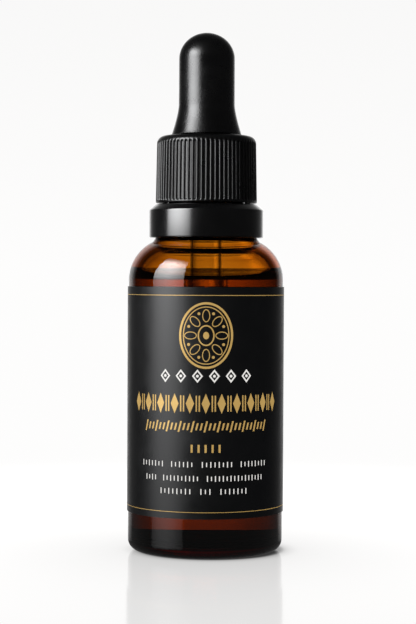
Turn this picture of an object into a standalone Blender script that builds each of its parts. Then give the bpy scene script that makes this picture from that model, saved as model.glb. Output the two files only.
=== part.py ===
"""A 30 ml round glass dropper bottle, in metres, +Z up.

The bottle stands on z = 0 with its axis on +Z, and its label faces -Y.
The collar turns about +Z on a right-hand thread, and it carries the bulb
and the pipette up or down with it.
"""

import math

import bmesh
import bpy
from mathutils import Matrix, Vector

MM = 0.001
TAU = 2.0 * math.pi

# Glass bottle: foot, wall, shoulder and neck.
BODY_RADIUS = 16.0
WALL = 2.1
HEEL_RADIUS = 2.6
FOOT_RADIUS = 11.6
PUSH_UP = 0.7
FLOOR_Z = 2.1
SHOULDER_Z = 56.0
SHOULDER_RADIUS = 8.8
SHOULDER_END = math.radians(64.0)
NECK_RADIUS = 8.0
BORE_RADIUS = 5.8
MOUTH_Z = 82.8
BEAD_RADIUS = 9.0
BEAD_Z = 68.35

# Screw thread between the neck and the collar.
THREAD_PITCH = 3.0
THREAD_CREST = 9.0
THREAD_TURNS = 2.2
COLLAR_THREAD_TURNS = 2.6
THREAD_START_Z = 73.4
FLANK_OFFSET = 1.2

# Liquid inside the bottle, and the pocket that the pipette stands in.
LIQUID_Z = 56.0
MENISCUS = 1.3
POCKET_RADIUS = 3.65

# Paper label, wrapped round the wall with a narrow seam at the back.
LABEL_Z = 8.25
LABEL_HEIGHT = 46.4
LABEL_INNER = 16.14
LABEL_OUTER = 16.30

# Tamper ring on the neck, under the collar.
RING_RADIUS = 11.83
RING_BORE = 9.4
RING_LIP = 8.6
RING_Z = 64.7
RING_TOP = 71.65

# Ribbed screw collar.
COLLAR_Z = 71.95
COLLAR_TOP = 85.8
COLLAR_RADIUS = 10.5
COLLAR_TOP_RADIUS = 10.25
COLLAR_EDGE = 1.6
COLLAR_BORE = 9.3
COLLAR_PLATE = 1.5
COLLAR_HOLE = 5.2
RIB_COUNT = 68
RIB_DEPTH = 0.35
GROOVE_WIDTH = 0.52
GROOVE_Z = 72.5
GROOVE_TOP = 84.2

# Rubber bulb, with its foot flange under the collar's plate.
BULB_TOP = 107.2
BULB_RADIUS = 5.77
BULB_CROWN = 5.4
BULB_WALL = 1.35
SKIRT_RADIUS = 7.22
SKIRT_Z = 86.1
FLARE_Z = 92.4
WAIST_RADIUS = 4.9
FLANGE_RADIUS = 8.6
FLANGE_Z = 83.1
FLANGE_THICK = 0.9

# Glass pipette.
PIPETTE_RADIUS = 3.25
PIPETTE_BORE = 2.25
PIPETTE_TOP = 90.0
PIPETTE_TIP_Z = 8.2
TAPER_Z = 20.0
TIP_RADIUS = 1.35
TIP_BORE = 0.6

BODY_SEGMENTS = 40
THREAD_SEGMENTS = 26
BULB_SEGMENTS = 32
PIPETTE_SEGMENTS = 24


def clear_scene():
    """Removes every object that the file starts with."""
    for obj in list(bpy.data.objects):
        bpy.data.objects.remove(obj, do_unlink=True)


def arc(centre_r, centre_z, radius, start, end, steps):
    """Points on a circular arc in the (radius, height) plane, angles from the outward direction."""
    points = []
    for i in range(steps + 1):
        angle = start + (end - start) * i / steps
        points.append((centre_r + radius * math.cos(angle), centre_z + radius * math.sin(angle)))
    return points


def material(name, colour, roughness, metallic=0.0, transmission=0.0, ior=1.5):
    """A Principled material of one colour."""
    made = bpy.data.materials.new(name)
    made.use_nodes = True
    shader = made.node_tree.nodes["Principled BSDF"]
    shader.inputs["Base Color"].default_value = (*colour, 1.0)
    shader.inputs["Roughness"].default_value = roughness
    shader.inputs["Metallic"].default_value = metallic
    shader.inputs["Transmission Weight"].default_value = transmission
    shader.inputs["IOR"].default_value = ior
    made.diffuse_color = (*colour, 1.0)
    return made


def add_object(name, bm, finish=None):
    """Makes an object of the finished mesh, shaded smooth with its hard edges kept."""
    bmesh.ops.recalc_face_normals(bm, faces=bm.faces)
    mesh = bpy.data.meshes.new(name)
    bm.to_mesh(mesh)
    bm.free()
    mesh.shade_smooth()
    mesh.set_sharp_from_angle(angle=math.radians(35.0))
    if finish:
        mesh.materials.append(finish)
    obj = bpy.data.objects.new(name, mesh)
    bpy.context.scene.collection.objects.link(obj)
    return obj


def helper(obj):
    """Marks a Boolean's second shape, which is no part of the object itself."""
    obj.hide_render = True
    obj.display_type = "WIRE"
    return obj


def turned(name, profile, segments, finish=None, sweep=1.0):
    """A turned solid: an outline of (radius, height) in millimetres, swept round +Z.

    An outline that starts and ends on the axis is left open there. A sweep under one
    turn leaves a gap centred on +Y, and its two ends are filled.
    """
    bm = bmesh.new()
    step = TAU / segments
    first = math.radians(90.0) + 0.5 * step
    side = Vector((math.cos(first), math.sin(first), 0.0))
    verts = [bm.verts.new(side * r * MM + Vector((0.0, 0.0, z * MM))) for r, z in profile]
    edges = [bm.edges.new(pair) for pair in zip(verts, verts[1:])]
    if profile[0][0] > 0.0:
        edges.append(bm.edges.new((verts[-1], verts[0])))
    steps = segments if sweep == 1.0 else round(segments * sweep)
    bmesh.ops.spin(
        bm,
        geom=verts + edges,
        cent=(0.0, 0.0, 0.0),
        axis=(0.0, 0.0, 1.0),
        angle=step * steps,
        steps=steps,
        use_merge=sweep == 1.0,
    )
    bmesh.ops.remove_doubles(bm, verts=bm.verts, dist=1e-7)
    open_edges = [edge for edge in bm.edges if edge.is_boundary]
    if open_edges:
        bmesh.ops.holes_fill(bm, edges=open_edges, sides=0)
    return add_object(name, bm, finish)


def thread(name, root, crest, root_width, crest_width, lag, lead, turns, segments):
    """A right-hand helical ridge whose ends sink into the wall that carries it.

    It lies lag below the thread's own line, and it starts lead turns along that line.
    """
    bm = bmesh.new()
    steps = round(turns * segments)
    rings = []
    for i in range(steps + 1):
        turn = i / segments
        rise = min(1.0, turn / 0.12, (turns - turn) / 0.12)
        edge = root + (crest - root) * (0.12 + 0.88 * max(0.0, rise))
        angle = TAU * (lead + turn)
        middle = THREAD_START_Z - lag + THREAD_PITCH * (lead + turn)
        section = (
            (root, middle - 0.5 * root_width),
            (edge, middle - 0.5 * crest_width),
            (edge, middle + 0.5 * crest_width),
            (root, middle + 0.5 * root_width),
        )
        ring = []
        for r, z in section:
            ring.append(bm.verts.new((r * MM * math.cos(angle), r * MM * math.sin(angle), z * MM)))
        rings.append(ring)
    for low, high in zip(rings, rings[1:]):
        for j in range(4):
            bm.faces.new((low[j], low[(j + 1) % 4], high[(j + 1) % 4], high[j]))
    bm.faces.new(rings[0])
    bm.faces.new(rings[-1])
    return helper(add_object(name, bm))


def groove_cutters():
    """The slots between the collar's ribs, leaning with the collar's draft."""
    bm = bmesh.new()
    height = GROOVE_TOP - GROOVE_Z
    draft = math.atan2(COLLAR_RADIUS - COLLAR_TOP_RADIUS, COLLAR_TOP - COLLAR_Z)
    middle = 0.5 * (COLLAR_RADIUS + COLLAR_TOP_RADIUS) - RIB_DEPTH + 1.0
    for i in range(RIB_COUNT):
        place = (
            Matrix.Rotation(math.radians(90.0) + TAU * (i + 0.5) / RIB_COUNT, 4, "Z")
            @ Matrix.Translation((middle * MM, 0.0, 0.5 * (GROOVE_Z + GROOVE_TOP) * MM))
            @ Matrix.Rotation(-draft, 4, "Y")
            @ Matrix.Diagonal((2.0 * MM, GROOVE_WIDTH * MM, height * MM, 1.0))
        )
        bmesh.ops.create_cube(bm, size=1.0, matrix=place)
    return helper(add_object("collar_grooves", bm))


def boolean(obj, other, operation):
    """Adds an exact Boolean to the object."""
    modifier = obj.modifiers.new(other.name, "BOOLEAN")
    modifier.operation = operation
    modifier.solver = "EXACT"
    modifier.object = other


def frame_empty(name, z, parent=None):
    """An empty on the bottle's axis."""
    obj = bpy.data.objects.new(name, None)
    obj.empty_display_size = 0.01
    obj.location = (0.0, 0.0, z * MM)
    obj.parent = parent
    bpy.context.scene.collection.objects.link(obj)
    return obj


def make_bottle(finish):
    """Blown glass, foot to mouth: outside first, then the inside back down to the floor."""
    inner = BODY_RADIUS - WALL
    heel_r = BODY_RADIUS - HEEL_RADIUS
    shoulder_r = BODY_RADIUS - SHOULDER_RADIUS
    outside = [(0.0, PUSH_UP), (9.3, 0.45), (FOOT_RADIUS, 0.0)]
    outside += arc(heel_r, HEEL_RADIUS, HEEL_RADIUS, math.radians(-90.0), 0.0, 4)
    outside += arc(shoulder_r, SHOULDER_Z, SHOULDER_RADIUS, 0.0, SHOULDER_END, 6)
    outside += [
        (10.5, 64.4),
        (8.4, 65.0),
        (NECK_RADIUS, 65.4),
        (NECK_RADIUS, BEAD_Z - 0.8),
        (BEAD_RADIUS, BEAD_Z - 0.35),
        (BEAD_RADIUS, BEAD_Z + 0.35),
        (NECK_RADIUS, BEAD_Z + 0.9),
        (NECK_RADIUS, MOUTH_Z - 0.5),
        (NECK_RADIUS - 0.4, MOUTH_Z),
    ]
    inside = [(BORE_RADIUS + 0.4, MOUTH_Z), (BORE_RADIUS, MOUTH_Z - 0.5), (BORE_RADIUS, 66.0)]
    inside += arc(shoulder_r, SHOULDER_Z, SHOULDER_RADIUS - WALL, math.radians(72.0), 0.0, 5)
    inside += arc(inner - 1.3, FLOOR_Z + 1.3, 1.3, 0.0, math.radians(-90.0), 3)
    inside += [(0.0, FLOOR_Z + 0.3)]
    bottle = turned("bottle", outside + inside, BODY_SEGMENTS, finish)
    ridge = thread(
        "bottle_thread",
        NECK_RADIUS - 0.5,
        THREAD_CREST,
        1.9,
        0.7,
        0.0,
        0.0,
        THREAD_TURNS,
        THREAD_SEGMENTS,
    )
    boolean(bottle, ridge, "UNION")
    return bottle


def make_liquid(finish):
    """The filling, with its surface curving up at the glass and at the pipette."""
    outer = BODY_RADIUS - WALL - 0.35
    floor = FLOOR_Z + 0.65
    pocket_floor = PIPETTE_TIP_Z - 0.5
    profile = [(0.0, floor)]
    profile += arc(outer - 1.2, floor + 1.2, 1.2, math.radians(-90.0), 0.0, 3)
    profile += [
        (outer, LIQUID_Z + MENISCUS - 0.5),
        (outer - 0.9, LIQUID_Z + 0.3),
        (outer - 2.6, LIQUID_Z),
        (POCKET_RADIUS + 1.5, LIQUID_Z),
        (POCKET_RADIUS, LIQUID_Z + 0.7),
        (POCKET_RADIUS, pocket_floor),
        (0.0, pocket_floor),
    ]
    return turned("liquid", profile, BULB_SEGMENTS, finish)


def make_label(finish):
    """A paper sleeve that stops short of a full turn."""
    top = LABEL_Z + LABEL_HEIGHT
    profile = [(LABEL_INNER, LABEL_Z), (LABEL_OUTER, LABEL_Z), (LABEL_OUTER, top), (LABEL_INNER, top)]
    sweep = (BODY_SEGMENTS - 1) / BODY_SEGMENTS
    return turned("label", profile, BODY_SEGMENTS, finish, sweep)


def make_ring(finish):
    """A plain band with a lip that catches under the neck's bead."""
    profile = [
        (RING_RADIUS - 0.3, RING_Z),
        (RING_RADIUS, RING_Z + 0.3),
        (RING_RADIUS, RING_TOP - 1.25),
        (RING_RADIUS - 0.2, RING_TOP - 1.0),
        (COLLAR_RADIUS, RING_TOP),
        (RING_BORE, RING_TOP),
        (RING_BORE, BEAD_Z - 0.7),
        (RING_LIP, BEAD_Z - 1.15),
        (RING_LIP, BEAD_Z - 1.7),
        (RING_BORE, BEAD_Z - 2.3),
        (RING_BORE, RING_Z + 0.9),
        (10.8, RING_Z),
    ]
    return turned("tamper_ring", profile, BODY_SEGMENTS, finish)


def make_collar(finish, parent):
    """The ribbed collar: a turned cap, hollowed, threaded inside and slotted outside."""
    edge_r = COLLAR_TOP_RADIUS - COLLAR_EDGE
    edge_z = COLLAR_TOP - COLLAR_EDGE
    outer = [(0.0, COLLAR_Z), (COLLAR_RADIUS - 0.25, COLLAR_Z), (COLLAR_RADIUS, COLLAR_Z + 0.25)]
    outer += arc(edge_r, edge_z, COLLAR_EDGE, 0.0, math.radians(90.0), 3)
    outer += [(0.0, COLLAR_TOP)]
    collar = turned("collar", outer, RIB_COUNT, finish)
    plate_z = COLLAR_TOP - COLLAR_PLATE
    hollow = [
        (0.0, COLLAR_Z - 1.0),
        (COLLAR_BORE, COLLAR_Z - 1.0),
        (COLLAR_BORE, plate_z),
        (COLLAR_HOLE, plate_z),
        (COLLAR_HOLE, COLLAR_TOP + 1.0),
        (0.0, COLLAR_TOP + 1.0),
    ]
    boolean(collar, helper(turned("collar_hollow", hollow, BODY_SEGMENTS)), "DIFFERENCE")
    ridge = thread(
        "collar_thread",
        COLLAR_BORE + 0.35,
        THREAD_CREST - 0.7,
        1.2,
        0.4,
        FLANK_OFFSET,
        0.3,
        COLLAR_THREAD_TURNS,
        THREAD_SEGMENTS,
    )
    boolean(collar, ridge, "UNION")
    boolean(collar, groove_cutters(), "DIFFERENCE")
    collar.parent = parent
    return collar


def make_bulb(finish, parent):
    """The hollow rubber bulb, open at its foot: outside up to the crown, then inside down."""
    straight = BULB_TOP - BULB_CROWN
    inner = BULB_RADIUS - BULB_WALL
    bore = PIPETTE_RADIUS + 0.35
    outside = [
        (bore, FLANGE_Z),
        (FLANGE_RADIUS, FLANGE_Z),
        (FLANGE_RADIUS, FLANGE_Z + FLANGE_THICK),
        (WAIST_RADIUS, FLANGE_Z + FLANGE_THICK),
        (WAIST_RADIUS, SKIRT_Z),
        (SKIRT_RADIUS - 0.15, SKIRT_Z),
        (SKIRT_RADIUS, SKIRT_Z + 0.3),
    ]
    for i in range(1, 5):
        share = i / 5.0
        blend = (1.0 - share) ** 1.6
        radius = BULB_RADIUS + (SKIRT_RADIUS - BULB_RADIUS) * blend
        outside.append((radius, SKIRT_Z + 0.3 + (FLARE_Z - SKIRT_Z - 0.3) * share))
    outside.append((BULB_RADIUS, FLARE_Z))
    for i in range(6):
        angle = math.radians(90.0) * i / 6.0
        outside.append((BULB_RADIUS * math.cos(angle), straight + (BULB_TOP - straight) * math.sin(angle)))
    outside.append((0.0, BULB_TOP))
    crown = BULB_TOP - BULB_WALL
    inside = [(0.0, crown)]
    for i in range(3, 0, -1):
        angle = math.radians(90.0) * i / 4.0
        inside.append((inner * math.cos(angle), straight + (crown - straight) * math.sin(angle)))
    inside += [(inner, straight), (inner, 91.2), (bore, 89.6)]
    bulb = turned_open("bulb", outside, inside, finish)
    bulb.parent = parent
    return bulb


def turned_open(name, outside, inside, finish):
    """A turned shell whose outline touches the axis at its crown and is open at its foot."""
    bm = bmesh.new()
    for chain in (outside, inside + [outside[0]]):
        verts = [bm.verts.new((r * MM, 0.0, z * MM)) for r, z in chain]
        edges = [bm.edges.new(pair) for pair in zip(verts, verts[1:])]
        bmesh.ops.spin(
            bm,
            geom=verts + edges,
            cent=(0.0, 0.0, 0.0),
            axis=(0.0, 0.0, 1.0),
            angle=TAU,
            steps=BULB_SEGMENTS,
            use_merge=True,
        )
    bmesh.ops.remove_doubles(bm, verts=bm.verts, dist=1e-7)
    return add_object(name, bm, finish)


def make_pipette(finish, parent):
    """A glass tube drawn down to a narrow tip."""
    profile = [
        (TIP_RADIUS - 0.2, PIPETTE_TIP_Z),
        (TIP_RADIUS, PIPETTE_TIP_Z + 0.25),
        (TIP_RADIUS + 0.15, PIPETTE_TIP_Z + 3.0),
        (PIPETTE_RADIUS - 0.5, TAPER_Z - 4.0),
        (PIPETTE_RADIUS - 0.1, TAPER_Z - 1.4),
        (PIPETTE_RADIUS, TAPER_Z),
        (PIPETTE_RADIUS, PIPETTE_TOP - 0.25),
        (PIPETTE_RADIUS - 0.25, PIPETTE_TOP),
        (PIPETTE_BORE + 0.2, PIPETTE_TOP),
        (PIPETTE_BORE, PIPETTE_TOP - 0.25),
        (PIPETTE_BORE, TAPER_Z),
        (PIPETTE_BORE - 0.45, TAPER_Z - 4.0),
        (TIP_BORE, PIPETTE_TIP_Z + 3.0),
        (TIP_BORE, PIPETTE_TIP_Z),
    ]
    pipette = turned("pipette", profile, PIPETTE_SEGMENTS, finish)
    pipette.parent = parent
    return pipette


def main():
    clear_scene()
    amber = material("amber_glass", (0.42, 0.15, 0.02), 0.03, transmission=1.0, ior=1.52)
    tincture = material("tincture", (0.20, 0.03, 0.005), 0.05, transmission=0.9, ior=1.36)
    paper = material("label_paper", (0.012, 0.014, 0.017), 0.45)
    polypropylene = material("black_polypropylene", (0.006, 0.006, 0.007), 0.28)
    rubber = material("black_rubber", (0.007, 0.007, 0.008), 0.42)
    clear_glass = material("clear_glass", (0.95, 0.96, 0.96), 0.02, transmission=1.0, ior=1.5)
    lift = frame_empty("dropper_lift", 0.0)
    turn = frame_empty("collar_turn", 0.0, lift)
    make_bottle(amber)
    make_liquid(tincture)
    make_label(paper)
    make_ring(polypropylene)
    make_collar(polypropylene, turn)
    make_bulb(rubber, lift)
    make_pipette(clear_glass, lift)


main()
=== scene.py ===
"""Looks of a 30 ml amber dropper bottle: glass, tincture, label, ring, collar, bulb and pipette.

Sizes are in millimetres until MM turns them to metres, and heights come from the frame's nodes.
"""

import math

import bmesh
import bpy
from mathutils import Matrix, Vector


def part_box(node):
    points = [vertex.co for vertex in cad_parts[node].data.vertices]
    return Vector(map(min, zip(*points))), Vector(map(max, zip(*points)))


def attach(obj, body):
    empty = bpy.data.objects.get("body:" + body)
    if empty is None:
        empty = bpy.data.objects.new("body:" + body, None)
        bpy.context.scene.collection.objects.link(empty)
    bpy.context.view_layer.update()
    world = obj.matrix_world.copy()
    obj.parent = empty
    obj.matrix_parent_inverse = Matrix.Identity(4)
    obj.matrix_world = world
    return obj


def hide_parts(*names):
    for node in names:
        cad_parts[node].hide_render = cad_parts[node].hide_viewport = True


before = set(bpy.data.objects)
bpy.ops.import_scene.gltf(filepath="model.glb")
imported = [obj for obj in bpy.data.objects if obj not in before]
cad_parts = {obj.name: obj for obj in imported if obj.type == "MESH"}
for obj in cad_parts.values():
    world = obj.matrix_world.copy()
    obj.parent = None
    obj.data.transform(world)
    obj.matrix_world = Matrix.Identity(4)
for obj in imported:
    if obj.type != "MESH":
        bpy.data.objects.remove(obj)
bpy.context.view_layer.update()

MM = 0.001
TAU = math.tau


def span(node):
    """The lowest and highest height of a node, in millimetres."""
    low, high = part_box(node)
    return low[2] / MM, high[2] / MM


# Glass body: wall, shoulder and neck. The wall stands over a heel, and the shoulder is one arc.
BODY_R = 16.0
WALL = 2.1
SHOULDER_Z = 56.0
SHOULDER_R = 8.8
SHOULDER_X = BODY_R - SHOULDER_R
NECK_R = 8.0
BORE_R = 5.8
MOUTH_Z = span("bottle")[1]
# The screw thread shared by the neck and the collar.
PITCH = 3.0
THREAD_Z = 73.4
# The inside: its floor, the level of the tincture, and how far liquid overlaps glass.
FLOOR_Z = span("liquid")[0] - 0.65
FLOOR_FILLET = 1.3
LIQUID_Z = 56.1
WETTING = 0.05
# Label: the paper's face and the gap of its seam at the back.
LABEL_LOW, LABEL_HIGH = span("label")
LABEL_R = 16.22
SEAM = math.radians(9.0)
SLEEVE_SEGMENTS = 352
# Black plastic and rubber.
RING_LOW, RING_HIGH = span("tamper_ring")
RING_R = 11.83
RING_BORE = 9.4
COLLAR_LOW, COLLAR_HIGH = span("collar")
COLLAR_BORE = 9.3
RIBS = 68
RIB_DEPTH = 0.36
BULB_LOW, BULB_HIGH = span("bulb")
BULB_R = 5.77
BULB_BORE = 4.35
# Pipette: the barrel, the part gripped by the bulb, and where the barrel starts to narrow.
TIP_Z, PIPETTE_TOP = span("pipette")
TUBE_R = 3.4
TUBE_BORE = 2.75
GRIP_R = 3.25
GRIP_BORE = 2.5
TAPER_Z = 20.0


# ---- outlines and meshes ----


def arc(centre_r, centre_z, radius, start, end, steps):
    """Points on an arc of the (radius, height) plane, its angles in degrees up from outward."""
    points = []
    for i in range(steps + 1):
        angle = math.radians(start + (end - start) * i / steps)
        r = centre_r + radius * math.cos(angle)
        points.append((r, centre_z + radius * math.sin(angle), 0.0))
    return points


def filleted(corners, step=9.0):
    """A closed outline whose (radius, height, fillet) corners are rounded."""
    points = []
    for i, (r, z, fillet) in enumerate(corners):
        here = Vector((r, z))
        if fillet <= 0.0:
            points.append((r, z))
            continue
        back = Vector(corners[i - 1][:2]) - here
        ahead = Vector(corners[(i + 1) % len(corners)][:2]) - here
        half = back.angle(ahead) / 2.0
        length = min(fillet / math.tan(half), 0.49 * back.length, 0.49 * ahead.length)
        middle = (back.normalized() + ahead.normalized()).normalized()
        centre = here + middle * (length / math.cos(half))
        first = here + back.normalized() * length - centre
        last = here + ahead.normalized() * length - centre
        start = math.atan2(first.y, first.x)
        sweep = math.remainder(math.atan2(last.y, last.x) - start, TAU)
        steps = max(2, math.ceil(abs(math.degrees(sweep)) / step))
        for j in range(steps + 1):
            angle = start + sweep * j / steps
            r = centre.x + first.length * math.cos(angle)
            points.append((r, centre.y + first.length * math.sin(angle)))
    return points


def divided(points, low, high, spacing):
    """The outline with extra points where a side between two heights is longer than the spacing."""
    result = []
    for (r0, z0), (r1, z1) in zip(points, points[1:] + points[:1]):
        result.append((r0, z0))
        inside = low <= min(z0, z1) + 1e-6 and max(z0, z1) - 1e-6 <= high
        steps = math.ceil(math.hypot(r1 - r0, z1 - z0) / spacing) if inside else 1
        for j in range(1, steps):
            result.append((r0 + (r1 - r0) * j / steps, z0 + (z1 - z0) * j / steps))
    return result


def turned(outline, segments=320, start=0.0, turn=TAU, sectors=16):
    """A turned shape: the (radius, height) outline spun about +Z, one sector copied round."""
    bm = bmesh.new()
    side = Vector((math.cos(start), math.sin(start), 0.0))
    verts = [bm.verts.new(side * (r * MM) + Vector((0.0, 0.0, z * MM))) for r, z in outline]
    edges = [bm.edges.new(pair) for pair in zip(verts, verts[1:])]
    if outline[0][0] > 0.0:
        edges.append(bm.edges.new((verts[-1], verts[0])))
    bmesh.ops.spin(
        bm,
        geom=verts + edges,
        cent=(0.0, 0.0, 0.0),
        axis=(0.0, 0.0, 1.0),
        angle=turn / sectors,
        steps=segments // sectors,
        use_merge=False,
    )
    wedge = bpy.data.meshes.new("wedge")
    bm.to_mesh(wedge)
    for i in range(1, sectors):
        done = len(bm.verts)
        bm.from_mesh(wedge)
        spin = Matrix.Rotation(turn * i / sectors, 3, "Z")
        bmesh.ops.rotate(bm, verts=bm.verts[:][done:], cent=(0.0, 0.0, 0.0), matrix=spin)
    bpy.data.meshes.remove(wedge)
    bmesh.ops.remove_doubles(bm, verts=bm.verts, dist=1e-7)
    bmesh.ops.holes_fill(bm, edges=[edge for edge in bm.edges if edge.is_boundary], sides=0)
    bmesh.ops.recalc_face_normals(bm, faces=bm.faces)
    return bm


def ridge(root, crest, root_width, crest_width, lag, lead, turns, steps_a_turn=96):
    """A screw thread's ridge: a trapezium spun up the helix, its ends sinking into the wall.

    The helix starts the lead's share of a turn round, and stands the lag below the other one.
    """
    bm = bmesh.new()
    angle = TAU * lead
    side = Vector((math.cos(angle), math.sin(angle), 0.0))
    middle = THREAD_Z - lag + PITCH * lead
    section = ((root, -root_width), (crest, -crest_width), (crest, crest_width), (root, root_width))
    verts = []
    for r, width in section:
        height = Vector((0.0, 0.0, (middle + width / 2.0) * MM))
        verts.append(bm.verts.new(side * (r * MM) + height))
    edges = [bm.edges.new((verts[i], verts[(i + 1) % 4])) for i in range(4)]
    steps = round(turns * steps_a_turn)
    bmesh.ops.spin(
        bm,
        geom=verts + edges,
        cent=(0.0, 0.0, 0.0),
        axis=(0.0, 0.0, 1.0),
        dvec=(0.0, 0.0, PITCH * turns * MM / steps),
        angle=TAU * turns,
        steps=steps,
        use_merge=False,
    )
    bmesh.ops.holes_fill(bm, edges=[edge for edge in bm.edges if edge.is_boundary], sides=4)
    for vert in bm.verts:
        # Each end rises from the wall over a tenth of a turn.
        along = (vert.co.z / MM - middle) / PITCH
        rise = max(0.0, min(1.0, (along + 0.05) / 0.1, (turns - along + 0.05) / 0.1))
        radius = vert.co.xy.length / MM
        if abs(radius - crest) < abs(radius - root):
            scale = (root + (crest - root) * (0.1 + 0.9 * rise)) / radius
            vert.co.x *= scale
            vert.co.y *= scale
    bmesh.ops.recalc_face_normals(bm, faces=bm.faces)
    return bm


def piece(name, bm, body, finish, nodes=(), sharp=40.0):
    """Makes the finished piece, which rides on its body and may stand for CAD nodes."""
    mesh = bpy.data.meshes.new(name)
    bm.to_mesh(mesh)
    bm.free()
    mesh.shade_smooth()
    mesh.set_sharp_from_angle(angle=math.radians(sharp))
    mesh.materials.append(finish)
    obj = bpy.data.objects.new(name, mesh)
    bpy.context.scene.collection.objects.link(obj)
    if body:
        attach(obj, body)
    if nodes:
        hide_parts(*nodes)
    return obj


# ---- materials ----


def colour(code):
    """The linear colour of an sRGB hex code."""
    channels = [int(code[i : i + 2], 16) / 255.0 for i in (1, 3, 5)]
    linear = [c / 12.92 if c <= 0.04045 else ((c + 0.055) / 1.055) ** 2.4 for c in channels]
    return (*linear, 1.0)


def add(tree, kind, inputs=None, points=(), **settings):
    """Adds a node with its settings. An input is a value, a socket or a node's first output.

    The points are (place, level) pairs from 0 to 1, for a node that holds a smooth curve.
    """
    node = tree.nodes.new(kind)
    for name, value in settings.items():
        setattr(node, name, value)
    for key, value in (inputs or {}).items():
        if isinstance(value, bpy.types.Node):
            value = value.outputs[0]
        if isinstance(value, bpy.types.NodeSocket):
            tree.links.new(value, node.inputs[key])
        else:
            node.inputs[key].default_value = value
    if points:
        line = node.mapping.curves[0]
        line.points[0].location = points[0]
        line.points[1].location = points[-1]
        for place, level in points[1:-1]:
            line.points.new(place, level)
        for point in line.points:
            point.handle_type = "AUTO_CLAMPED"
        node.mapping.update()
    return node


def finish(name, **values):
    """A material with one Principled shader, whose constant values sit on its own sockets."""
    made = bpy.data.materials.new(name)
    made.use_nodes = True
    tree = made.node_tree
    shader = tree.nodes["Principled BSDF"]
    for key, value in values.items():
        shader.inputs[key.replace("_", " ")].default_value = value
    return made, tree, shader


def see_through(name, ior):
    """A smooth clear material, whose colour comes only from its depth."""
    return finish(name, Base_Color=(1, 1, 1, 1), Roughness=0.0, IOR=ior, Transmission_Weight=1.0)


def relief(tree, shader, place, scale, detail, strength, distance):
    """Roughens the shader's surface by a noise, with the distance in metres."""
    noise = add(tree, "ShaderNodeTexNoise", {"Vector": place, "Scale": scale, "Detail": detail})
    height = {"Height": noise, "Strength": strength, "Distance": distance}
    bump = add(tree, "ShaderNodeBump", height)
    tree.links.new(bump.outputs["Normal"], shader.inputs["Normal"])


def amber_glass():
    """Moulded amber glass: deep orange-brown from its thickness, with an uneven gloss."""
    made, tree, shader = see_through("moulded_amber_glass", 1.52)
    place = add(tree, "ShaderNodeTexCoord").outputs["Object"]
    # Mould and blowing marks: shallow waves about 9 mm long.
    relief(tree, shader, place, 110.0, 1.0, 0.25, 0.0001)
    tint = {"Color": colour("#f4d848"), "Density": 1300.0}
    depth = add(tree, "ShaderNodeVolumeAbsorption", tint)
    tree.links.new(depth.outputs["Volume"], tree.nodes["Material Output"].inputs["Volume"])
    return made


def tincture():
    """Water and alcohol extract: clear, red-brown through its depth."""
    made, tree, shader = see_through("herbal_tincture", 1.36)
    tint = {"Color": colour("#dcab4e"), "Density": 130.0}
    depth = add(tree, "ShaderNodeVolumeAbsorption", tint)
    tree.links.new(depth.outputs["Volume"], tree.nodes["Material Output"].inputs["Volume"])
    return made


def flint_glass():
    """Drawn clear glass tube: colourless, seen by its bright and dark edges."""
    made, tree, shader = see_through("drawn_flint_glass", 1.5)
    place = add(tree, "ShaderNodeTexCoord").outputs["Object"]
    # Faint lines along the tube from its drawing, about 1.5 mm apart.
    stretch = {0: place, 1: (1.0, 1.0, 0.04)}
    drawn = add(tree, "ShaderNodeVectorMath", stretch, operation="MULTIPLY")
    relief(tree, shader, drawn.outputs[0], 700.0, 1.0, 0.15, 0.00002)
    return made


def speckled(name, base, light, roughness, grain, bump, scale=2600.0, **values):
    """A surface whose colour and gloss wander a little, with a fine grain in its relief.

    It is given two shades, the roughness and how far it wanders, and the grain's strength.
    """
    made, tree, shader = finish(name, Base_Color=colour(base), Roughness=roughness, **values)
    place = add(tree, "ShaderNodeTexCoord").outputs["Object"]
    # Clouds about 4 mm across.
    cloud = add(tree, "ShaderNodeTexNoise", {"Vector": place, "Scale": 260.0, "Detail": 4.0})
    shades = {0: cloud, 6: colour(base), 7: colour(light)}
    tint = add(tree, "ShaderNodeMix", shades, data_type="RGBA")
    tree.links.new(tint.outputs[2], shader.inputs["Base Color"])
    wander = {"Value": cloud, 1: 0.3, 2: 0.7, 3: roughness - grain, 4: roughness + grain}
    gloss = add(tree, "ShaderNodeMapRange", wander)
    tree.links.new(gloss.outputs["Result"], shader.inputs["Roughness"])
    # The real grain is too fine to show, so it is drawn 0.2 to 0.4 mm across.
    relief(tree, shader, place, scale, 2.0, bump, 0.00002)
    return made


amber = amber_glass()
liquid_finish = tincture()
clear = flint_glass()
# Injection-moulded polypropylene, polished mould: near black, satin gloss with soft edges.
ring_plastic = speckled(
    "moulded_black_polypropylene",
    "#060607",
    "#0a0a0b",
    0.22,
    0.03,
    0.1,
    Coat_Weight=1.0,
    Coat_Roughness=0.16,
)
# The same plastic from a spark-eroded mould: the ribs take a duller, finer grain.
rib_plastic = speckled("ribbed_black_polypropylene", "#050506", "#0a0a0b", 0.3, 0.04, 0.2)
# Natural rubber with a dusting of talc left in its pores: dark and soft-lit.
rubber = speckled("moulded_black_rubber", "#060607", "#0b0b0c", 0.26, 0.05, 0.9)
# Coated label stock printed slate black: an even satin with a faint fibre.
paper = speckled("satin_black_label_stock", "#08090b", "#0d0e11", 0.37, 0.04, 0.5, 4200.0)
# Bronze printing ink: warm gold that lights up a little like metal.
gold = speckled("bronze_gold_ink", "#c49d52", "#d9b469", 0.4, 0.05, 0.2, Metallic=0.2)
# Painted shade: a matt, almost black bed with a fine mottle that darkens the bottle's foot.
heel_shade_black = speckled("painted_heel_shade", "#030303", "#070606", 0.9, 0.05, 0.5, Specular_IOR_Level=0.05)
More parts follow.
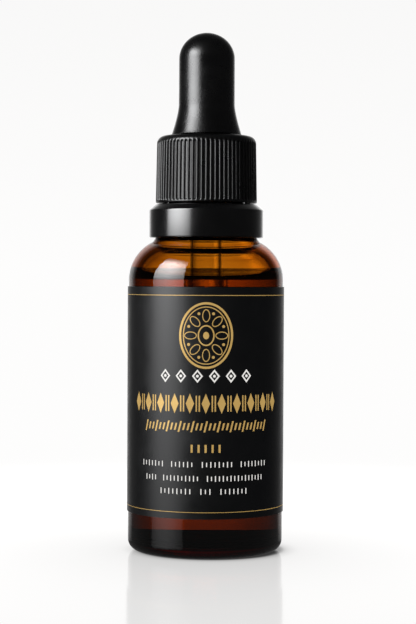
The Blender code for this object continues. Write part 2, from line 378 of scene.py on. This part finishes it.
# Opaque white screen ink.
white = speckled("white_screen_ink", "#e6e4e0", "#f2f0ec", 0.5, 0.04, 0.1)


# ---- the bottle and what it holds ----


def make_bottle():
    """Blown bottle: foot with its push-up, wall, shoulder, neck with bead and thread, inside."""
    inner = BODY_R - WALL
    corners = [(0.0, 0.7, 0.0), (9.6, 0.5, 3.0), (11.3, 0.0, 0.8), (BODY_R, 0.0, 2.6)]
    corners += arc(SHOULDER_X, SHOULDER_Z, SHOULDER_R, 0.0, 64.0, 40)
    # The neck's root, its retaining bead, the mouth and the bore.
    corners += [
        (10.62, 64.5, 0.2),
        (10.4, 64.95, 0.3),
        (NECK_R, 65.3, 0.5),
        (NECK_R, 67.5, 0.3),
        (9.0, 67.95, 0.3),
        (9.0, 68.8, 0.3),
        (NECK_R, 69.3, 0.3),
        (NECK_R, MOUTH_Z, 0.5),
        (BORE_R, MOUTH_Z, 0.6),
        (BORE_R, 65.5, 0.6),
    ]
    # The blown wall thins where the shoulder runs up into the neck.
    corners.append((8.3, 64.1, 0.4))
    corners += arc(SHOULDER_X, SHOULDER_Z, SHOULDER_R - WALL, 57.0, 0.0, 36)
    corners += [(inner, FLOOR_Z, FLOOR_FILLET), (5.0, FLOOR_Z, 4.0), (0.0, FLOOR_Z + 0.3, 0.0)]
    glass = turned(filleted(corners, 6.0))
    obj = piece("bottle_glass", glass, None, amber)
    # The ridge starts half a millimetre inside the wall, and stands one millimetre out of it.
    helix = ridge(NECK_R - 0.5, NECK_R + 1.0, 1.9, 0.7, lag=0.0, lead=0.0, turns=2.2)
    thread = piece("neck_thread", helix, None, amber)
    join = obj.modifiers.new("thread", "BOOLEAN")
    join.operation = "UNION"
    join.solver = "MANIFOLD"
    join.object = thread
    graph = bpy.context.evaluated_depsgraph_get()
    whole = bpy.data.meshes.new_from_object(obj.evaluated_get(graph))
    obj.modifiers.clear()
    obj.data = whole
    bpy.data.objects.remove(thread)
    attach(obj, "bottle")
    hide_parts("bottle")


def make_liquid():
    """The tincture wets the glass and the pipette, so its skin sits a hair inside both."""
    inner = BODY_R - WALL + WETTING
    tube = TUBE_R - WETTING
    top = LIQUID_Z
    floor = FLOOR_Z - WETTING
    low = TIP_Z + WETTING
    outline = [(0.0, floor + 0.3, 0.0), (5.0, floor, 4.0), (inner, floor, FLOOR_FILLET)]
    # The meniscus climbs the wall by 2.15 mm and dies away over 0.75 mm.
    for x in (0.0, 0.1, 0.2, 0.32, 0.46, 0.64, 0.88, 1.2, 1.7, 2.4):
        outline.append((inner - x, top + 2.15 * math.exp(-x / 0.75), 0.0))
    outline += [(inner - 3.8, top, 0.0), (tube + 2.4, top, 0.0)]
    outline += [(tube + 0.7, top + 0.06, 0.0), (tube, top + 0.25, 0.0)]
    outline += [(tube, TAPER_Z, 0.0), (1.4, TIP_Z + 3.0, 0.0), (1.3, low, 0.0), (0.65, low, 0.0)]
    # Air trapped under the bulb keeps the tube nearly empty.
    outline += [(0.65, TIP_Z + 3.0, 0.0), (1.0, 13.0, 0.0), (0.5, 12.7, 0.0), (0.0, 12.6, 0.0)]
    shape = turned(filleted(outline, 6.0))
    piece("tincture", shape, "bottle", liquid_finish, ["liquid"])


def make_heel_shade():
    """A dark bed in the heel under the tincture: painted shade at the bottle's foot."""
    edge = BODY_R - WALL - 0.04
    low = FLOOR_Z + 0.05
    outline = [(0.0, low + 0.32, 0.0), (5.0, low, 4.0), (edge, low, FLOOR_FILLET)]
    outline += [(edge, low + 1.22, 0.0), (edge - 0.5, low + 1.12, 0.5)]
    outline += [(7.0, low + 0.95, 3.0), (0.0, low + 0.9, 0.0)]
    piece("heel_shade_black", turned(filleted(outline, 6.0)), "bottle", heel_shade_black, ())


def make_pipette():
    """Drawn tube: fire-polished top, straight barrel and a tip drawn down to a fine hole."""
    grip = COLLAR_LOW + 10.0
    corners = [
        (1.35, TIP_Z, 0.25),
        (1.5, TIP_Z + 3.0, 4.0),
        (TUBE_R, TAPER_Z, 6.0),
        (TUBE_R, grip - 1.0, 1.0),
        (GRIP_R, grip, 1.0),
        (GRIP_R, PIPETTE_TOP, 0.4),
        (GRIP_BORE, PIPETTE_TOP, 0.3),
        (GRIP_BORE, grip, 1.0),
        (TUBE_BORE, grip - 1.0, 1.0),
        (TUBE_BORE, TAPER_Z, 6.0),
        (0.6, TIP_Z + 3.0, 4.0),
        (0.6, TIP_Z, 0.25),
    ]
    shape = turned(filleted(corners, 4.0), 160)
    piece("pipette_tube", shape, "dropper", clear, ["pipette"])


# ---- label and its print ----


def sleeve(inner, outer, low, high):
    """A thin band round the bottle, open at the label's seam."""
    outline = [(inner, low), (outer, low), (outer, high), (inner, high)]
    return turned(outline, SLEEVE_SEGMENTS, math.radians(90.0) + SEAM / 2.0, TAU - SEAM)


def make_label():
    """Paper sleeve with its narrow seam gap at the back."""
    shape = sleeve(BODY_R + 0.03, LABEL_R, LABEL_LOW, LABEL_HIGH)
    piece("label_sleeve", shape, "bottle", paper, ["label"], 30.0)


def printed(name, shapes, ink, lift=0.02):
    """Wraps flat shapes, drawn with x along and z up, round the label as a thin ink film."""
    bm = bmesh.new()
    for shape in shapes:
        mesh = bpy.data.meshes.new("film")
        shape.to_mesh(mesh)
        shape.free()
        bm.from_mesh(mesh)
        bpy.data.meshes.remove(mesh)
    bmesh.ops.recalc_face_normals(bm, faces=bm.faces)
    raised = bmesh.ops.extrude_face_region(bm, geom=bm.faces[:])
    top = [part for part in raised["geom"] if isinstance(part, bmesh.types.BMVert)]
    bmesh.ops.translate(bm, verts=top, vec=(0.0, -lift, 0.0))
    for vert in bm.verts:
        x, depth, z = vert.co
        radius = (LABEL_R - 0.005 - depth) * MM
        vert.co = (radius * math.sin(x / LABEL_R), -radius * math.cos(x / LABEL_R), z * MM)
    bmesh.ops.recalc_face_normals(bm, faces=bm.faces)
    piece(name, bm, "bottle", ink, (), 30.0)


def flat(width, height, x, z, slant=0.0):
    """A flat bar, or a leaning one, centred on (x, z) in millimetres."""
    bm = bmesh.new()
    bmesh.ops.create_grid(bm, x_segments=1, y_segments=1, size=0.5)
    for vert in bm.verts:
        u, v = vert.co.x, vert.co.y
        vert.co = (x + u * width + slant * v * height, 0.0, z + v * height)
    return bm


def lozenge(width, height, x, z, sides=4):
    """A flat shape with equal sides, such as a lozenge or a dot."""
    bm = bmesh.new()
    bmesh.ops.create_circle(bm, cap_ends=True, segments=sides, radius=0.5)
    for vert in bm.verts:
        vert.co = (x + vert.co.x * width, 0.0, z + vert.co.y * height)
    return bm


def hoop(width, height, thickness, x, z, sides=72):
    """A flat oval ring."""
    bm = bmesh.new()
    bmesh.ops.create_circle(bm, cap_ends=True, segments=sides, radius=0.5)
    rim = bm.faces[:]
    for vert in bm.verts:
        vert.co = (x + vert.co.x * width, 0.0, z + vert.co.y * height)
    bm.normal_update()
    bmesh.ops.inset_region(
        bm, faces=rim, thickness=thickness, use_even_offset=True, use_boundary=True
    )
    bmesh.ops.delete(bm, geom=rim, context="FACES_ONLY")
    return bm


def rosette(x, z):
    """Two oval hoops round an eye, with eight petals and eight dots between them."""
    shapes = [hoop(11.0, 13.3, 0.45, x, z), hoop(9.4, 11.6, 0.2, x, z)]
    shapes += [hoop(3.4, 4.2, 0.28, x, z, 48), lozenge(1.2, 1.5, x, z, 24)]
    for i in range(8):
        angle = TAU * i / 8
        petal = hoop(1.6, 2.6, 0.18, 0.0, 0.0, 24)
        turn = Matrix.Rotation(angle, 3, "Y")
        bmesh.ops.rotate(petal, verts=petal.verts, cent=(0, 0, 0), matrix=turn)
        shift = (x + 3.15 * math.sin(angle), 0.0, z + 3.95 * math.cos(angle))
        bmesh.ops.translate(petal, verts=petal.verts, vec=shift)
        shapes.append(petal)
        angle += TAU / 16
        bead = (x + 3.8 * math.sin(angle), z + 4.7 * math.cos(angle))
        shapes.append(lozenge(0.6, 0.6, *bead, 16))
    return shapes


def frieze(x, z):
    """Eleven lozenges with a pair of bars in each gap."""
    shapes = []
    for i in range(11):
        place = x + 3.2 * (i - 5)
        shapes.append(lozenge(1.7, 4.0, place, z))
        if i < 10:
            shapes += [flat(0.28, 3.2, place + 1.3, z), flat(0.28, 3.2, place + 1.9, z)]
    return shapes


def tick_row(x, z, half, groups):
    """A row of short ticks in groups, from half its width left of x to half right of it."""
    shapes = []
    step = 2.0 * half / (sum(groups) + 1.5 * (len(groups) - 1))
    at = x - half
    for group in groups:
        for i in range(group):
            shapes.append(flat(0.2, (1.15, 0.85, 1.15, 1.0)[i % 4], at, z))
            at += step
        at += 1.5 * step
    return shapes


def make_print():
    """Gold rules, an oval rosette, and rows of plain marks."""
    for name, up, thick in (("upper_rule", 44.75, 0.12), ("lower_rule", 1.38, 0.1)):
        z = LABEL_LOW + up
        band = sleeve(LABEL_R - 0.01, LABEL_R + 0.02, z - thick / 2.0, z + thick / 2.0)
        piece(name, band, "bottle", gold, (), 30.0)
    middle = 0.1
    marks = rosette(middle, 45.0) + frieze(middle, 31.4)
    for i in range(31):
        marks.append(flat(0.36, (2.2, 1.4, 1.4)[i % 3], middle - 13.2 + 0.88 * i, 26.8, 0.25))
    for i in range(5):
        marks.append(flat(0.42, 1.6, middle - 2.8 + 1.4 * i, 22.4))
    printed("gold_marks", marks, gold)
    marks = []
    for i in range(6):
        place = middle - 8.5 + 3.4 * i
        marks += [hoop(2.2, 2.7, 0.3, place, 36.9, 4), lozenge(0.6, 0.6, place, 36.9, 12)]
    marks += tick_row(middle, 19.2, 14.2, (7, 6, 8, 8))
    marks += tick_row(middle, 16.4, 13.2, (4, 10, 16))
    marks += tick_row(middle, 13.8, 9.4, (8, 3, 7))
    printed("white_marks", marks, white)


# ---- ring, collar and bulb ----


def make_ring():
    """Tamper ring: a smooth band with rounded rims and a lip under the neck's bead."""
    corners = [
        (RING_R, RING_LOW, 0.35),
        (RING_R, RING_HIGH - 1.2, 0.3),
        (10.46, RING_HIGH, 0.12),
        (RING_BORE, RING_HIGH, 0.1),
        (RING_BORE, 67.65, 0.1),
        (8.6, 67.2, 0.1),
        (8.6, 66.65, 0.1),
        (RING_BORE, 66.05, 0.1),
        (RING_BORE, 65.6, 0.1),
        (10.8, RING_LOW, 0.15),
    ]
    band = turned(filleted(corners))
    piece("tamper_band", band, "bottle", ring_plastic, ["tamper_ring"], 60.0)


def make_collar():
    """Screw collar: rounded rib tops that run from a scoop under the rim to a slanted foot."""
    roof = COLLAR_HIGH - 1.5
    corners = [
        (COLLAR_BORE, COLLAR_LOW, 0.1),
        (10.5, COLLAR_LOW, 0.22),
        (10.25, COLLAR_HIGH, 1.6),
        (5.2, COLLAR_HIGH, 0.35),
        (5.2, roof, 0.15),
        (COLLAR_BORE, roof, 0.5),
    ]
    outline = divided(filleted(corners), COLLAR_LOW + 0.2, roof, 0.16)
    bm = turned(outline, RIBS * 12, sectors=34)
    # Each rib has 12 steps, fills 0.62 of its pitch as a half round and fades out at both ends.
    foot, top = COLLAR_LOW + 0.35, COLLAR_HIGH - 1.6
    for vert in bm.verts:
        radius, z = vert.co.xy.length / MM, vert.co.z / MM
        if radius < 9.7 or z > COLLAR_HIGH - 0.5:
            continue
        turn = math.atan2(vert.co.y, vert.co.x) / TAU * RIBS
        across = abs(turn - round(turn)) / 0.31
        lobe = math.sqrt(max(0.0, 1.0 - across**2)) if across < 1.0 else 0.0
        ends = min(1.0, max(0.0, (z - foot) / 0.3)) * min(1.0, max(0.0, (top + 0.35 - z) / 0.3))
        scale = (radius - RIB_DEPTH * (1.0 - lobe) * ends) / radius
        vert.co.x *= scale
        vert.co.y *= scale
    thread = bpy.data.meshes.new("collar_thread")
    inside = ridge(9.65, 8.3, 1.2, 0.4, lag=1.2, lead=0.3, turns=2.6)
    inside.to_mesh(thread)
    inside.free()
    bm.from_mesh(thread)
    bpy.data.meshes.remove(thread)
    piece("ribbed_collar", bm, "collar", rib_plastic, ["collar"], 50.0)


def quarter(radius, height, base, steps):
    """Points up a quarter of an oval, from its side at the base height to its crown."""
    points = []
    for i in range(steps):
        angle = math.radians(90.0 * i / steps)
        points.append((radius * math.cos(angle), base + height * math.sin(angle), 0.0))
    return points + [(0.0, base + height, 0.0)]


def make_bulb():
    """Rubber bulb: hollow, with a flared skirt, a waist in the collar's hole and a foot flange."""
    flange = BULB_LOW + 0.9
    skirt = BULB_LOW + 3.0
    flare = BULB_LOW + 9.3
    crown = 5.4
    corners = [(3.6, BULB_LOW, 0.15), (8.6, BULB_LOW, 0.25), (8.6, flange, 0.25)]
    corners += [(4.9, flange, 0.2), (4.9, skirt, 0.25), (7.26, skirt, 0.3)]
    for i in range(1, 24):
        share = i / 24.0
        spread = 1.47 * (1.0 - share) ** 1.4
        corners.append((BULB_R + spread, skirt + (flare - skirt) * share, 0.0))
    corners += quarter(BULB_R, crown, BULB_HIGH - crown, 24)
    corners += reversed(quarter(BULB_BORE, 4.05, BULB_HIGH - crown, 16))
    corners += [(BULB_BORE, 91.4, 1.0), (3.6, 89.8, 0.6)]
    # The turned outline starts at the axis inside the crown and ends at the axis outside it.
    outline = filleted(corners)
    apex = max(range(len(outline)), key=lambda i: outline[i][1])
    outline = outline[apex + 1 :] + outline[: apex + 1]
    bulb = turned(outline, 256)
    piece("squeeze_bulb", bulb, "dropper", rubber, ["bulb"], 50.0)


make_bottle()
make_liquid()
make_heel_shade()
make_pipette()
make_label()
make_print()
make_ring()
make_collar()
make_bulb()


# ---- camera and studio ----

# Metres: how far the softbox stands off, and the height of the bottle's middle that it faces.
PANEL_REACH = 0.2
PANEL_Z = 0.058


def make_camera():
    """A long lens a little above the middle of the bottle, looking slightly down."""
    data = bpy.data.cameras.new("camera")
    data.lens = 106.04
    data.sensor_width = 36.0
    data.clip_start = 0.01
    camera = bpy.data.objects.new("camera", data)
    bpy.context.scene.collection.objects.link(camera)
    down = Matrix.Rotation(math.radians(90.0 - 1.153), 4, "X")
    roll = Matrix.Rotation(math.radians(0.27), 4, "Z")
    camera.matrix_world = Matrix.Translation((0.00045, -0.382, 0.05706)) @ (down @ roll)
    bpy.context.scene.camera = camera


def stage_piece(name, corners, shader_name):
    """A flat four-cornered piece of the studio."""
    bm = bmesh.new()
    bm.faces.new([bm.verts.new(corner) for corner in corners])
    mesh = bpy.data.meshes.new(name)
    bm.to_mesh(mesh)
    bm.free()
    made = bpy.data.materials.new(shader_name)
    made.use_nodes = True
    made.node_tree.nodes.clear()
    mesh.materials.append(made)
    obj = bpy.data.objects.new(name, mesh)
    bpy.context.scene.collection.objects.link(obj)
    return obj, made.node_tree


def make_floor():
    """A pale, softly glossy table top whose glow holds a painted contact shade round the bottle,
    fading at its edge.
    """
    half = 0.3
    corners = [(-half, -half, 0.0), (half, -half, 0.0), (half, half, 0.0), (-half, half, 0.0)]
    obj, tree = stage_piece("table_top", corners, "white_acrylic")
    obj.visible_glossy = obj.visible_diffuse = False
    obj.visible_transmission = obj.visible_shadow = False
    place = add(tree, "ShaderNodeTexCoord").outputs["Object"]
    # The painted shade leans away from the softbox, as a cast shadow would.
    lean = {0: place, 1: (0.001, 0.0, 0.0)}
    shifted = add(tree, "ShaderNodeVectorMath", lean, operation="SUBTRACT")
    length = add(tree, "ShaderNodeVectorMath", {0: shifted}, operation="LENGTH")
    reach = length.outputs["Value"]
    near = add(tree, "ShaderNodeMapRange", {"Value": reach, 1: 0.0, 2: 0.1})
    # Painted shade: the glow is nearly black under the bottle's foot and brightens with distance
    # from it; no shadow is cast on the table.
    levels = [
        (0.0, 0.02),
        (0.139, 0.03),
        (0.147, 0.1),
        (0.159, 0.44),
        (0.174, 0.575),
        (0.19, 0.635),
        (0.22, 0.66),
        (0.37, 0.715),
        (0.6, 0.76),
        (1.0, 0.79),
    ]
    painted_floor_shade = add(tree, "ShaderNodeFloatCurve", {"Value": near}, levels)
    warm = {"Color": (1.0, 0.994, 0.988, 1.0), "Strength": painted_floor_shade}
    glow = add(tree, "ShaderNodeEmission", warm)
    gloss = add(tree, "ShaderNodeBsdfGlossy", {"Color": (1, 1, 1, 1), "Roughness": 0.1})
    nothing = add(tree, "ShaderNodeBsdfTransparent", {"Color": (0, 0, 0, 1)})
    grazing = add(tree, "ShaderNodeFresnel", {"IOR": 1.12})
    # Only the strip that mirrors the bottle is glossy, so the softbox barely shows in the table;
    # elsewhere the reflection is painted.
    x = add(tree, "ShaderNodeSeparateXYZ", {0: place})
    aside = add(tree, "ShaderNodeMath", {0: x}, operation="ABSOLUTE")
    aside = add(tree, "ShaderNodeMapRange", {"Value": aside, 1: 0.0, 2: 0.1})
    levels = [(0.0, 1.0), (0.2, 0.97), (0.3, 0.5), (0.42, 0.0), (1.0, 0.0)]
    strip = add(tree, "ShaderNodeFloatCurve", {"Value": aside}, levels)
    # Painted reflection: away from the strip, a plain glow weighted by the Fresnel stands in for
    # the white surroundings mirrored in the table.
    pale = {"Color": (1.0, 0.996, 0.992, 1.0), "Strength": 1.0}
    painted_reflection = add(tree, "ShaderNodeEmission", pale)
    sheen = add(tree, "ShaderNodeMixShader", {0: strip, 1: painted_reflection, 2: gloss})
    shine = add(tree, "ShaderNodeMixShader", {0: grazing, 1: nothing, 2: sheen})
    lit = add(tree, "ShaderNodeAddShader", {0: glow, 1: shine})
    # The table fades out into the backdrop between 0.1 and 0.2 m from the bottle.
    away = add(tree, "ShaderNodeBsdfTransparent")
    far = add(tree, "ShaderNodeMapRange", {"Value": reach, 1: 0.1, 2: 0.2})
    levels = [(0.0, 1.0), (0.2, 0.95), (0.8, 0.05), (1.0, 0.0)]
    fade = add(tree, "ShaderNodeFloatCurve", {"Value": far}, levels)
    whole = add(tree, "ShaderNodeMixShader", {0: fade, 1: away, 2: lit})
    add(tree, "ShaderNodeOutputMaterial", {"Surface": whole})


def make_softbox():
    """A soft panel at the left front, brighter towards its top and its middle."""
    corners = []
    for azimuth, elevation in ((32.0, -31.0), (84.0, -31.0), (78.0, 50.0), (31.0, 46.0)):
        reach = PANEL_REACH / math.cos(math.radians(azimuth - 57.0))
        side = math.radians(azimuth)
        height = reach * math.tan(math.radians(elevation)) + PANEL_Z
        corners.append((-reach * math.sin(side), -reach * math.cos(side), height))
    obj, tree = stage_piece("softbox", corners, "softbox_cloth")
    obj.visible_camera = obj.visible_diffuse = obj.visible_transmission = False
    place = add(tree, "ShaderNodeTexCoord").outputs["Object"]
    x, y, z = add(tree, "ShaderNodeSeparateXYZ", {0: place}).outputs
    # Sideways by bearing, from the panel's outer edge at 84 degrees to its inner one at 31.
    bearing = add(tree, "ShaderNodeMath", {0: x, 1: y}, operation="ARCTAN2")
    bearing = add(tree, "ShaderNodeMath", {0: bearing}, operation="ABSOLUTE")
    ends = {1: math.radians(180.0 - 84.0), 2: math.radians(180.0 - 31.0)}
    across = add(tree, "ShaderNodeMapRange", {"Value": bearing, **ends})
    levels = [
        (0.0, 0.46),
        (0.075, 0.54),
        (0.21, 0.82),
        (0.36, 0.97),
        (0.49, 1.04),
        (0.61, 0.98),
        (0.74, 0.82),
        (0.86, 0.6),
        (1.0, 0.38),
    ]
    side = add(tree, "ShaderNodeFloatCurve", {"Value": across}, levels)
    up = add(tree, "ShaderNodeMath", {0: z, 1: PANEL_Z}, operation="SUBTRACT")
    ends = {1: -0.5 * PANEL_REACH, 2: 1.3 * PANEL_REACH}
    climb = add(tree, "ShaderNodeMapRange", {"Value": up, **ends})
    levels = [
        (0.0, 0.025),
        (0.044, 0.04),
        (0.067, 0.05),
        (0.094, 0.08),
        (0.167, 0.1),
        (0.236, 0.115),
        (0.278, 0.17),
        (0.333, 0.35),
        (0.39, 0.42),
        (0.44, 0.52),
        (0.5, 0.6),
        (0.56, 0.67),
        (0.627, 0.74),
        (0.66, 0.76),
        (0.7, 0.7),
        (0.769, 0.42),
        (0.83, 0.2),
        (0.89, 0.06),
        (0.93, 0.0),
        (1.0, 0.0),
    ]
    rise = add(tree, "ShaderNodeFloatCurve", {"Value": climb}, levels)
    power = add(tree, "ShaderNodeMath", {0: side, 1: rise}, operation="MULTIPLY")
    power = add(tree, "ShaderNodeMath", {0: power, 1: 23.0}, operation="MULTIPLY")
    glow = add(tree, "ShaderNodeEmission", {"Color": (0.985, 0.99, 1.0, 1.0), "Strength": power})
    add(tree, "ShaderNodeOutputMaterial", {"Surface": glow})


def make_world():
    """A white backdrop behind the bottle and a dark studio round it, by kind of ray."""
    world = bpy.data.worlds.new("studio")
    bpy.context.scene.world = world
    world.use_nodes = True
    world.cycles.sampling_method = "NONE"
    tree = world.node_tree
    tree.nodes.clear()
    place = add(tree, "ShaderNodeTexCoord").outputs["Generated"]
    x, y, z = add(tree, "ShaderNodeSeparateXYZ", {0: place}).outputs
    dim = {"Value": z, 1: 0.0, 2: 0.15, 3: 0.985, 4: 0.945}
    seen = add(tree, "ShaderNodeMapRange", dim)

    # Smooth and dull gloss see the backdrop fall away by the angle from straight back.
    turn = add(tree, "ShaderNodeMath", {0: y}, operation="ARCCOSINE")
    turn = add(tree, "ShaderNodeMath", {0: turn, 1: math.pi}, operation="DIVIDE")
    levels = [
        (0.0, 1.0),
        (0.08, 0.84),
        (0.12, 0.77),
        (0.184, 0.68),
        (0.225, 0.29),
        (0.267, 0.08),
        (0.29, 0.01),
        (0.36, 0.01),
        (1.0, 0.01),
    ]
    crisp = add(tree, "ShaderNodeFloatCurve", {"Value": turn}, levels)
    levels = [
        (0.0, 1.0),
        (0.09, 1.0),
        (0.15, 0.5),
        (0.2, 0.2),
        (0.26, 0.1),
        (0.36, 0.04),
        (0.5, 0.02),
        (1.0, 0.015),
    ]
    soft = add(tree, "ShaderNodeFloatCurve", {"Value": turn}, levels)

    # Under the horizon the table is dark near the bottle, and a little paler straight down.
    sunk = add(tree, "ShaderNodeMapRange", {"Value": z, 1: -0.3, 2: 0.0})
    levels = [(0.0, 0.085), (0.534, 0.085), (0.553, 0.015), (0.75, 0.01), (1.0, 0.01)]
    low = add(tree, "ShaderNodeFloatCurve", {"Value": sunk}, levels)
    levels = [(0.0, 0.04), (0.4, 0.08), (0.6, 0.8), (1.0, 1.0)]
    below = add(tree, "ShaderNodeFloatCurve", {"Value": sunk}, levels)
    crisp = add(tree, "ShaderNodeMath", {0: crisp, 1: below}, operation="MULTIPLY")
    crisp = add(tree, "ShaderNodeMath", {0: crisp, 1: low}, operation="MAXIMUM")

    # What shows through the glass is the backdrop by its bearing and by its height.
    off = add(tree, "ShaderNodeMath", {0: x, 1: y}, operation="ARCTAN2")
    off = add(tree, "ShaderNodeMath", {0: off}, operation="ABSOLUTE")
    off = add(tree, "ShaderNodeMath", {0: off, 1: math.pi}, operation="DIVIDE")
    levels = [
        (0.0, 1.0),
        (0.033, 0.92),
        (0.056, 0.8),
        (0.078, 0.64),
        (0.1, 0.47),
        (0.14, 0.32),
        (0.18, 0.22),
        (0.22, 0.12),
        (0.28, 0.06),
        (0.5, 0.04),
        (1.0, 0.04),
    ]
    aside = add(tree, "ShaderNodeFloatCurve", {"Value": off}, levels)
    height = add(tree, "ShaderNodeMapRange", {"Value": z, 1: -0.5, 2: 0.5})
    levels = [
        (0.0, 0.0),
        (0.345, 0.0),
        (0.3575, 0.02),
        (0.3635, 0.2),
        (0.375, 0.25),
        (0.4, 0.5),
        (0.46, 0.85),
        (0.497, 0.92),
        (0.512, 0.74),
        (0.56, 0.72),
        (0.65, 0.7),
        (0.7, 0.6),
        (0.8, 0.4),
        (1.0, 0.2),
    ]
    upright = add(tree, "ShaderNodeFloatCurve", {"Value": height}, levels)
    # It is brighter towards the right, which the filled bottle shows at its left.
    right = add(tree, "ShaderNodeMapRange", {"Value": x, 1: -1.0, 2: 1.0})
    levels = [
        (0.0, 0.45),
        (0.54, 0.45),
        (0.58, 0.9),
        (0.66, 1.0),
        (0.7, 0.7),
        (0.74, 0.45),
        (1.0, 0.45),
    ]
    lean = add(tree, "ShaderNodeFloatCurve", {"Value": right}, levels)
    through = add(tree, "ShaderNodeMath", {0: aside, 1: upright}, operation="MULTIPLY")
    through = add(tree, "ShaderNodeMath", {0: through, 1: lean}, operation="MULTIPLY")
    through = add(tree, "ShaderNodeMath", {0: through, 1: 2.6}, operation="MULTIPLY")

    # The camera's rays win over those through glass, then gloss. A diffuse ray gets full light.
    rays = add(tree, "ShaderNodeLightPath").outputs
    value = add(tree, "ShaderNodeMix", {0: rays["Is Singular Ray"], 2: soft, 3: crisp})
    value = add(tree, "ShaderNodeMix", {0: rays["Is Glossy Ray"], 2: 1.0, 3: value})
    value = add(tree, "ShaderNodeMix", {0: rays["Is Transmission Ray"], 2: value, 3: through})
    value = add(tree, "ShaderNodeMix", {0: rays["Is Camera Ray"], 2: value, 3: seen})
    sky = add(tree, "ShaderNodeBackground", {"Color": (1.0, 0.996, 0.992, 1.0), "Strength": value})
    add(tree, "ShaderNodeOutputWorld", {"Surface": sky})


make_camera()
make_floor()
make_softbox()
make_world()
bpy.context.scene.view_settings.view_transform = "Standard"
# Light crosses up to fourteen glass and liquid skins on its way through the pipette.
bpy.context.scene.cycles.max_bounces = 32
bpy.context.scene.cycles.transmission_bounces = 32
